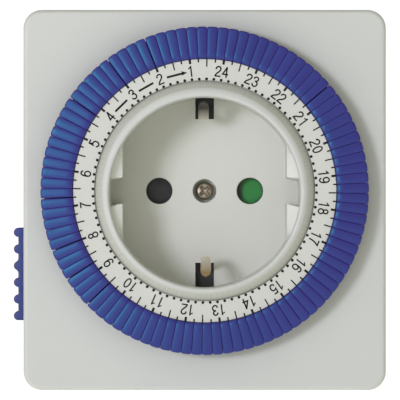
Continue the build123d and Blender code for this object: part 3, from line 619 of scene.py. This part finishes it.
def strip(shape, path, width, thickness, edge, taper, shift):
    """A bent metal strip along a path of (height, z) points, its ends rounded over the taper's length. shift
    gives how far to the right the strip stands at each z."""
    points = [Vector(p) for p in path]
    run = [0.0]
    for first, second in zip(points, points[1:]):
        run.append(run[-1] + (second - first).length)
    rings = []
    for n, here in enumerate(points):
        back, ahead = points[max(0, n - 1)], points[min(len(points) - 1, n + 1)]
        along = (ahead - back).normalized()
        out = Vector((-along.y, along.x))
        near = min(run[n], run[-1] - run[n])
        wide = width / 2 * (1 if near >= taper else sqrt(max(0.0, 1 - (1 - near / taper) ** 2)))
        wide = max(wide, 0.25)
        ring = []
        for x, t in rounded([(wide, -thickness / 2, edge), (wide, thickness / 2, edge),
                             (-wide, thickness / 2, edge), (-wide, -thickness / 2, edge)], 3):
            spot = here + out * t
            ring.append((x + shift(here.y), spot.x, spot.y))
        rings.append(shape.loop(ring))
    shape.chain(rings)
    shape.cap(rings[0])
    shape.cap(rings[-1])


def earth_clips():
    """The sprung strip for the plug's earth contacts. Its two ends stand a little off the middle."""
    shape = Shape()
    ends = []
    for side, tip, nose in ((1, 18.3, 14.85), (-1, 17.65, 13.85)):
        slope = (0, 0.008, 0.025, 0.05, 0.09, 0.14, 0.2, 0.27, 0.36)
        half = [(56.6 - 4.2 * u, tip - (tip - nose) * u, 0) for u in slope]
        half += [(52.4, nose, 0.9), (51.0, nose + 0.1, 1.2), (45.5, nose + 2.6, 2.0)]
        half.append((CLIP_BACK, nose + 2.6, 0.8))
        ends.append([(h, side * z, r) for h, z, r in half])
    strip(shape, rounded(ends[0] + ends[1][::-1], 7), CLIP_WIDTH, CLIP_THICKNESS, edge=0.18, taper=1.5,
          shift=lambda z: -0.015 - 0.235 * max(-1, min(1, z / 10)))
    shape.slab([circle(4.4, 48), circle(1.6, 32)], 38.86, 39.34, 0.08, 0.08)
    shape.piece("earth_clip", "case", [CLIP], ["front_earth_clip"])


def slot_liners():
    """Dark guards under the two slots in the socket's floor, put there as painted shade for the depth of the
    slots.
    """
    shape = Shape()
    for side, near, far in ((1, 17.0, 17.95), (-1, 16.0, 16.95)):
        guard = box_outline(-2.6, 2.6, *sorted((side * 14.0, side * 20.4)), 0.3)
        gate = box_outline(-1.2 - 0.25 * side, 1.2 - 0.25 * side, *sorted((side * near, side * far)), 0.1)
        shape.slab([guard, gate], 41.3, 42.4, 0.1, 0.1)
    shape.piece("slot_liners", "case", [FINISHES["black_plastic"]])


def hole_liners():
    """A dark ring deep in each pin hole, as painted shade on the hole's wall and round the shutter."""
    shape = Shape()
    for x in (-PIN_X, PIN_X):
        ring = [circle(PIN_HOLE_R - gap, 56, (x, 0)) for gap in (0.01, 0.17)]
        shape.slab(ring, CUP_BACK + 0.1, FLOOR - 0.4, 0.03, 0.05)
    shape.piece("hole_liners", "case", [FINISHES["black_plastic"]])


slot_liners()
hole_liners()
earth_clips()


def lever_spring():
    """The coil spring under the switch lever."""
    shape = Shape()
    steps = 20
    rings = []
    for n in range(SPRING_TURNS * steps + 1):
        turn = 2 * pi * n / steps
        height = SPRING_BACK + (SPRING_FRONT - SPRING_BACK) * n / (SPRING_TURNS * steps)
        rings.append(shape.loop([(SPRING_X + (SPRING_R + across) * cos(turn), height + up,
                                  SPRING_Z + (SPRING_R + across) * sin(turn))
                                 for across, up in circle(SPRING_WIRE, 10)]))
    shape.chain(rings)
    shape.cap(rings[0])
    shape.cap(rings[-1])
    made = shape.piece("lever_coil", "case", [FINISHES["spring_steel"]], ["lever_spring"])
    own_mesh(made)


lever_spring()


# ---- dial ----
def dial_face():
    shape = Shape()
    outline = [(DIAL_OUTER_R, 59.0, 0.1), (DIAL_OUTER_R, DIAL_FACE, 0.12), (DIAL_INNER_R, DIAL_FACE, 0.14),
               (DIAL_INNER_R, 59.4, 0.05), (DIAL_BORE_R, 59.4, 0.1), (DIAL_BORE_R, 58.6, 0.1),
               (DIAL_INNER_R + 0.5, 58.6, 0.1), (DIAL_INNER_R + 0.5, 59.0, 0)]
    shape.lathe(rounded(outline, 3), 192, closed=True)
    shape.piece("dial_face", "dial", [DIAL], ["dial_disc"])


dial_face()


def dial_print():
    """Ink on the dial: a mark and a dot for each quarter of an hour, and the arrow that shows its turning."""
    shape = Shape()

    def mark(angle, inner, outer, width):
        """A radial line at an angle in degrees, clockwise from the top."""
        line = box_outline(-width / 2, width / 2, inner, outer)
        shape.slab([turned_by(line, -angle)], INK_LOW, INK_HIGH)

    for quarter in range(TABS):
        angle = HALF_HOUR_MARK + TAB_STEP * quarter
        inner, width = {0: (25.5, 0.27), 2: (26.2, 0.48)}.get(quarter % 4, (26.42, 0.3))
        mark(angle, inner, DIAL_OUTER_R - 0.02, width)
        shape.slab([turned_by(circle(DOT_R, 14, (0, DOT_CIRCLE_R)), -angle)], INK_LOW, INK_HIGH)

    def between(first, last):
        """A straight line between two angles, along the numbers."""
        ends = [Vector((LINE_R * sin(radians(a)), LINE_R * cos(radians(a)))) for a in (last, first)]
        along = (ends[1] - ends[0]).normalized()
        side = Vector((-along.y, along.x)) * LINE_WIDTH / 2
        corners = [ends[0] - side, ends[1] - side, ends[1] + side, ends[0] + side]
        shape.slab([[tuple(c) for c in corners]], INK_LOW, INK_HIGH)

    number_at = {n: NUMBER_TURN - 15.0 * (n % 24) for n in range(1, 25)}
    for first, last in ((4, 3), (3, 2), (2, 1)):
        between(number_at[first] + 3.3, number_at[last] - (3.8 if last == 1 else 3.7))
    tip = number_at[1] - 1.6
    spot = (LINE_R * sin(radians(tip)), LINE_R * cos(radians(tip)))
    head = [(0, 0), (-1.3, 0.5), (-0.95, 0), (-1.3, -0.5)]
    shape.slab([turned_by(head, -tip, spot)], INK_LOW, INK_HIGH)
    shape.piece("dial_print", "dial", [INK], sharp=60)


dial_print()


def ribbon(path, width):
    """The outline of a line of this width along an open path."""
    spots = [Vector(p) for p in path]
    near, far = [], []
    for n, here in enumerate(spots):
        back = (here - spots[n - 1]).normalized() if n else None
        ahead = (spots[n + 1] - here).normalized() if n + 1 < len(spots) else None
        back, ahead = back or ahead, ahead or back
        across = Vector((-back.y - ahead.y, back.x + ahead.x)).normalized()
        reach = width / 2 / max(0.5, across.dot(Vector((-back.y, back.x))))
        near.append(tuple(here - across * reach))
        far.append(tuple(here + across * reach))
    return near + far[::-1]


def figures():
    """For each figure, the outlines it is made of: each a list of an outer edge and perhaps a hole. A figure
    is about 2.3 mm tall, round its own middle."""
    def ellipse(middle, half_wide, half_tall):
        return [(middle[0] + half_wide * x, middle[1] + half_tall * z) for x, z in circle(1, 28)]

    def hoop(middle, half_wide, half_tall):
        return [ellipse(middle, half_wide + edge, half_tall + edge) for edge in (STROKE / 2, -STROKE / 2)]

    def line(*path):
        return [ribbon(path, STROKE)]

    one = [(0.0, -1.135), (0.29, -1.135), (0.29, 1.135), (0.06, 1.135), (-0.1, 0.88), (-0.4, 0.7),
           (-0.4, 0.42), (-0.16, 0.54), (0.0, 0.68)]
    two = line((-0.5, 0.4), (-0.46, 0.68), (-0.3, 0.89), (-0.08, 0.98), (0.12, 0.98), (0.34, 0.88),
               (0.48, 0.66), (0.48, 0.42), (0.36, 0.16), (0.1, -0.14), (-0.24, -0.44), (-0.46, -0.74),
               (-0.52, -0.99), (0.6, -0.99))
    three_top = line((-0.5, 0.46), (-0.42, 0.76), (-0.22, 0.95), (0.0, 0.99), (0.24, 0.92), (0.4, 0.74),
                     (0.42, 0.5), (0.3, 0.24), (0.1, 0.12), (-0.14, 0.09))
    three_foot = line((-0.14, 0.09), (0.14, 0.05), (0.38, -0.08), (0.51, -0.36), (0.49, -0.62),
                      (0.34, -0.86), (0.1, -0.99), (-0.12, -0.99), (-0.36, -0.86), (-0.52, -0.52))
    five = line((0.47, 0.98), (-0.32, 0.98), (-0.46, 0.06), (-0.26, 0.23), (0.0, 0.29), (0.26, 0.22),
                (0.46, -0.02), (0.51, -0.36), (0.42, -0.7), (0.2, -0.94), (-0.04, -0.99), (-0.32, -0.88),
                (-0.52, -0.56))
    stem = [(0.47, 0.6), (0.4, 0.8), (0.24, 0.95), (0.05, 0.99), (-0.16, 0.94), (-0.34, 0.74),
            (-0.45, 0.42), (-0.49, 0.05), (-0.47, -0.35)]
    seven = line((-0.54, 0.98), (0.52, 0.98), (0.22, 0.56), (-0.04, 0.04), (-0.18, -0.5), (-0.24, -1.135))
    return {
        "0": [hoop((0, 0), 0.49, 0.99)],
        "1": [[one]],
        "2": [two],
        "3": [three_top, three_foot],
        "4": [line((0.24, -1.135), (0.24, 1.13)), line((0.22, 0.98), (-0.54, -0.44), (0.62, -0.44))],
        "5": [five],
        "6": [hoop((0.01, -0.38), 0.49, 0.61), line(*stem)],
        "7": [seven],
        "8": [hoop((0, 0.52), 0.4, 0.47), hoop((0, -0.46), 0.49, 0.53)],
        "9": [hoop((-0.01, 0.38), 0.49, 0.61), line(*[(-x, -z) for x, z in stem])],
    }


def dial_numbers():
    """The numbers of the hours, counter-clockwise, with their tops away from the axis."""
    shape = Shape()
    known = figures()
    for number in range(1, 25):
        text = str(number)
        for n, figure in enumerate(text):
            shift = (n - (len(text) - 1) / 2) * FIGURE_PITCH
            for outlines in known[figure]:
                placed = [[(x + shift, z + FIGURE_R) for x, z in outline] for outline in outlines]
                shape.slab([turned_by(outline, 15.0 * (number % 24) - NUMBER_TURN) for outline in placed],
                           INK_LOW, INK_HIGH)
    shape.piece("dial_numbers", "dial", [INK], sharp=60)


dial_numbers()


# ---- switching tabs ----
def tab(shape, angle, trim, roll):
    """One tab pointing out at this angle, in degrees from the right: a crowned head with a scalloped tip, on
    a foot. trim is how much narrower it is than its place, at its first and second side, and roll how much
    higher its second side stands."""
    # u goes from the head's inner end to its tip and v from its first side to its second. along gives how
    # far the top has come down at each u, and across how much further at each v
    ledge = (LEDGE_R - TAB_INNER_R) / (TAB_OUTER_R - TAB_INNER_R)
    slope = (0.17, 0.26, 0.36, 0.5, 0.65, ledge - 0.004, ledge, 0.93)
    along = [(0.0, 1.0), (0.0, 0.42), (0.005, 0.355), (0.015, 0.305), (0.04, 0.235), (0.07, 0.17)]
    along += [(0.1, 0.13)] + [(u, 0.6 * u + 0.15 * u * u) for u in slope]
    along += [(0.965, 0.74), (0.985, 0.81), (0.996, 0.92), (1.0, 1.2)]
    across = [(-1.0, 0.95), (-1.0, 0.28), (-0.992, 0.185), (-0.972, 0.13), (-0.935, 0.1), (-0.86, 0.076),
              (-0.65, 0.04), (-0.4, 0.015), (-0.2, 0.004)]
    across = across + [(0.0, 0.0)] + [(-v, d) for v, d in reversed(across)]
    half_angle = radians(TAB_STEP / 2)
    ahead, side = (cos(radians(angle)), sin(radians(angle))), (-sin(radians(angle)), cos(radians(angle)))

    def point(u, v, height):
        tip = TAB_OUTER_R - 0.07 * v * v - 0.2 * abs(v) ** 7
        r = TAB_INNER_R + (tip - TAB_INNER_R) * u
        half = r * sin(half_angle) - TAB_CLEARANCE
        w = v * half - (trim[0] * min(0.0, v) + trim[1] * max(0.0, v))
        return r * ahead[0] + w * side[0], height, r * ahead[1] + w * side[1]

    def back_at(u):
        return LEDGE_BACK if u > ledge - 0.002 else TAB_BACK

    def top_at(u, v, down):
        return max(back_at(u) + 0.2, TAB_TOP - down + roll * v)

    rows = [shape.loop([point(u, v, top_at(u, v, down + drop)) for v, drop in across]) for u, down in along]
    for first, second in zip(rows, rows[1:]):
        shape.bridge(first, second, closed=False)
    # the underside, which steps up beyond the ledge: its points go round like the top's rim does
    rim = rows[0] + [row[-1] for row in rows[1:]] + rows[-1][-2::-1] + [row[0] for row in rows[-2:0:-1]]
    places = [(0.0, v) for v, _ in across] + [(u, 1.0) for u, _ in along[1:]]
    places += [(1.0, v) for v, _ in across[-2::-1]] + [(u, -1.0) for u, _ in along[-2:0:-1]]
    back = shape.loop([point(u, v, back_at(u)) for u, v in places])
    shape.bridge(rim, back)
    inner = [n for n, (u, _) in enumerate(places) if back_at(u) == TAB_BACK]
    outer = [n for n, (u, _) in enumerate(places) if back_at(u) == LEDGE_BACK]
    first, last = outer[0], outer[-1]
    shape.face((back[first - 1], back[first], back[last], back[last + 1]))
    for places_in in (inner, outer):
        shape.cap([back[n] for n in places_in])
    foot = box_outline(FOOT_INNER_R, FOOT_OUTER_R, -FOOT_WIDTH / 2, FOOT_WIDTH / 2, 0.12)
    shape.slab([turned_by(foot, angle)], FOOT_BACK, TAB_BACK + 0.2, 0.1)


def tabs():
    """Four tabs to an hour, counter-clockwise from the top. Neighbours have a thin gap between them, of a
    slightly different width each time."""
    gaps = [random.uniform(0.0, 0.02) + (WIDE_GAP if n in WIDE_GAPS else 0.0) for n in range(TABS + 1)]
    gaps[TABS] = gaps[0]
    for hour in range(1, 25):
        shape = Shape()
        for quarter in range(4):
            place = (2 + (hour - 1) * 4 + quarter) % TABS
            angle = 90 - HALF_HOUR_MARK + (place + 0.5) * TAB_STEP
            tab(shape, angle + random.uniform(-0.01, 0.01), (gaps[place] / 2, gaps[place + 1] / 2),
                random.uniform(-0.03, 0.03))
        body = f"hour_{hour:02d}"
        shape.piece(f"hour_tabs_{hour:02d}", body, [BLUE], [body], sharp=50)


tabs()


# ---- override slider ----
def slider():
    """The ribbed grip at the left side, and the stem and plate that hold it in the housing's slot."""
    shape = Shape()
    pitch = (SLIDER_LONG - 2 * RIB_R) / (RIBS - 1)
    high = SLIDER_LOW + SLIDER_LONG
    outline = [(SLIDER_INNER_X, SLIDER_LOW), (SLIDER_INNER_X, high), (SLIDER_INNER_X - 0.65, high)]
    for rib in reversed(range(RIBS)):
        middle = SLIDER_LOW + RIB_R + rib * pitch
        flare = WIDE_FLARE if rib == WIDE_RIB else RIB_FLARE
        for step in range(25):
            turn = radians(180 * step / 24)
            lift, z = sin(turn), middle + RIB_R * cos(turn)
            if rib not in (0, RIBS - 1):
                z += copysign(flare * max(0.0, 1 - lift / flare) ** 2, cos(turn))
            outline.append((SLIDER_X - RIB_R * lift, z))
    outline = [here for n, here in enumerate(outline)
               if hypot(here[0] - outline[n - 1][0], here[1] - outline[n - 1][1]) > 0.02]
    shape.slab([dense(outline, 0.6)], SLIDER_BACK, SLIDER_FRONT, 0.22, 0.22)
    shape.slab([box_outline(-37.6, -34.9, -21.4, -13.4, 0.2)], 42.1, 44.9, 0.1, 0.1)
    shape.slab([box_outline(-35.4, -34.7, -23.9, -10.9, 0.2)], 40.0, 47.0, 0.1, 0.1)
    shape.piece("slider_grip", "slider", [SLIDER_BLUE], ["override_slider"], sharp=50)


slider()


# ---- studio ----
def pale_floor():
    """A white disc just under the timer, that glows a little so that it stays pale."""
    disc = bpy.data.meshes.new("floor")
    ground = bmesh.new()
    bmesh.ops.create_circle(ground, cap_ends=True, segments=128, radius=3.0)
    ground.to_mesh(disc)
    ground.free()
    paper = bpy.data.materials.new("floor_paper")
    paper.use_nodes = True
    sheet = paper.node_tree.nodes["Principled BSDF"]
    sheet.inputs["Base Color"].default_value = (0.85, 0.85, 0.85, 1)
    sheet.inputs["Roughness"].default_value = 0.9
    sheet.inputs["Emission Color"].default_value = (1, 1, 1, 1)
    sheet.inputs["Emission Strength"].default_value = 0.65
    disc.materials.append(paper)
    floor = bpy.data.objects.new("floor", disc)
    floor.location = (0, 0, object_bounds()[0].z - 0.0001)
    bpy.context.scene.collection.objects.link(floor)


def soft_dome():
    """Light from all round, whitest behind the timer."""
    front, back = (0.41, 0.415, 0.33, 1), (1.05, 1.05, 1.05, 1)
    world = bpy.data.worlds.new("studio")
    world.use_nodes = True
    nodes, links = world.node_tree.nodes, world.node_tree.links
    way = nodes.new("ShaderNodeSeparateXYZ")
    links.new(nodes.new("ShaderNodeTexCoord").outputs["Generated"], way.inputs[0])
    share = nodes.new("ShaderNodeMapRange")
    share.interpolation_type = "SMOOTHSTEP"
    share.inputs["From Min"].default_value, share.inputs["From Max"].default_value = 0.55, 0.97
    links.new(way.outputs["Y"], share.inputs["Value"])
    dome = nodes.new("ShaderNodeMix")
    dome.data_type = "RGBA"
    dome.inputs[6].default_value, dome.inputs[7].default_value = front, back
    links.new(share.outputs[0], dome.inputs[0])
    links.new(dome.outputs[2], nodes["Background"].inputs["Color"])
    bpy.context.scene.world = world


def lamp(name, off_axis, below, size, power):
    """A soft round lamp to the left: off_axis degrees from straight ahead, and this far below the level."""
    light = bpy.data.lights.new(name, "AREA")
    light.shape, light.size, light.energy = "DISK", size, power
    light.color = (0.82, 0.81, 1.0)
    made = bpy.data.objects.new(name, light)
    tilt, sink = radians(off_axis), radians(below)
    toward = Vector((-sin(tilt) * cos(sink), -cos(tilt), -sin(tilt) * sin(sink)))
    made.location = Vector((0, -0.05, 0)) + toward
    made.rotation_euler = toward.to_track_quat("Z", "Y").to_euler()
    bpy.context.scene.collection.objects.link(made)


pale_floor()
soft_dome()
lamp("key", off_axis=31, below=-13, size=0.26, power=6.0)
lamp("low", off_axis=56, below=30, size=0.3, power=3.3)
lamp("high", off_axis=36, below=-80, size=0.9, power=1.6)

# the camera looks straight at the timer's front, from 0.8 m before its dial
view = bpy.data.cameras.new("camera")
view.lens, view.sensor_width = 351.0, 36.0
camera = bpy.data.objects.new("camera", view)
camera.location = (-0.00097, -0.862, -0.0019)
camera.rotation_euler = (pi / 2, 0, 0)
bpy.context.scene.collection.objects.link(camera)
bpy.context.scene.camera = camera
bpy.context.scene.view_settings.view_transform = "Standard"

bpy.context.view_layer.update()
